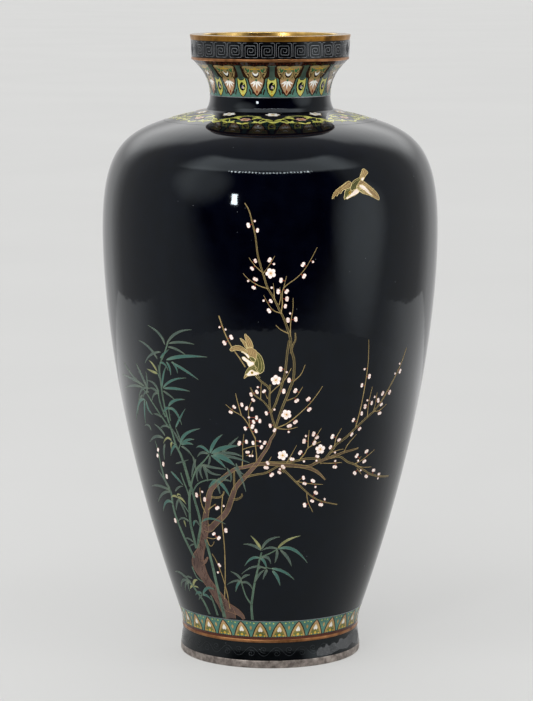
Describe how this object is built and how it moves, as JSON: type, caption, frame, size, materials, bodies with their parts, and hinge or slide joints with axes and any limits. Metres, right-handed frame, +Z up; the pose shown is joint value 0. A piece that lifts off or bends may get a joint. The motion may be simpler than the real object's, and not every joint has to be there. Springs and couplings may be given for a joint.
{
  "type": "cloisonne vase",
  "caption": "Shouldered enamel vase with a short flared neck and a ring foot, to stand on a table and hold flowers; dark ground with a plum tree, bamboo and birds.",
  "frame": {"origin": "centre of the foot ring on the surface the vase stands on", "axes": "+Z up along the vase's axis; -Y towards the side that carries the picture; +X to the right of it"},
  "size_m": [0.0996, 0.0996, 0.185],
  "materials": {
    "gilt_copper": "bright fire gilding, a little worn",
    "raw_copper": "plain beaten copper",
    "copper_band": "rounded copper band, lightly toned",
    "tarnished_silver": "silver gone dull and pinkish grey",
    "midnight_enamel": "polished glossy blue-black enamel",
    "green_enamel": "polished grey-green enamel",
    "brown_enamel": "polished red-brown enamel",
    "counter_enamel": "unpolished dark blue enamel",
    "bark_enamel": "polished mauve-brown enamel",
    "twig_enamel": "polished olive-brown enamel",
    "bamboo_enamel": "polished green enamel",
    "petal_enamel": "polished pinkish white enamel",
    "feather_enamel": "polished olive and tan enamel"
  },
  "bodies": {
    "root": {"lip_rim": "gilt_copper", "lip_fret_enamel": "midnight_enamel", "lip_lower_band": "copper_band", "neck_dot_enamel": "brown_enamel", "neck_lappet_enamel": "green_enamel", "neck_border_wire": "copper_band", "neck_black_enamel": "midnight_enamel", "neck_core": "raw_copper", "mouth_lining": "gilt_copper", "shoulder_scroll_enamel": "midnight_enamel", "shoulder_border_wire": "copper_band", "body_ground_enamel": "midnight_enamel", "body_core": "raw_copper", "inner_counter_enamel": "counter_enamel", "lower_border_wire": "copper_band", "lower_lappet_enamel": "green_enamel", "lower_dot_enamel": "brown_enamel", "foot_band": "copper_band", "foot_enamel": "midnight_enamel", "foot_core": "raw_copper", "foot_rim": "tarnished_silver", "base_plate": "raw_copper", "base_counter_enamel": "counter_enamel", "plum_trunk": "bark_enamel", "plum_left_limb": "bark_enamel", "plum_right_limb": "bark_enamel", "plum_upper_branch": "twig_enamel", "plum_side_branch": "twig_enamel", "bamboo_back_culm": "bamboo_enamel", "bamboo_tall_culm": "bamboo_enamel", "bamboo_young_culm": "bamboo_enamel", "plum_blossom_1": "petal_enamel", "plum_blossom_2": "petal_enamel", "plum_blossom_3": "petal_enamel", "plum_blossom_4": "petal_enamel", "plum_blossom_5": "petal_enamel", "flying_bird": "feather_enamel", "perched_bird": "feather_enamel"}
  },
  "joints": []
}
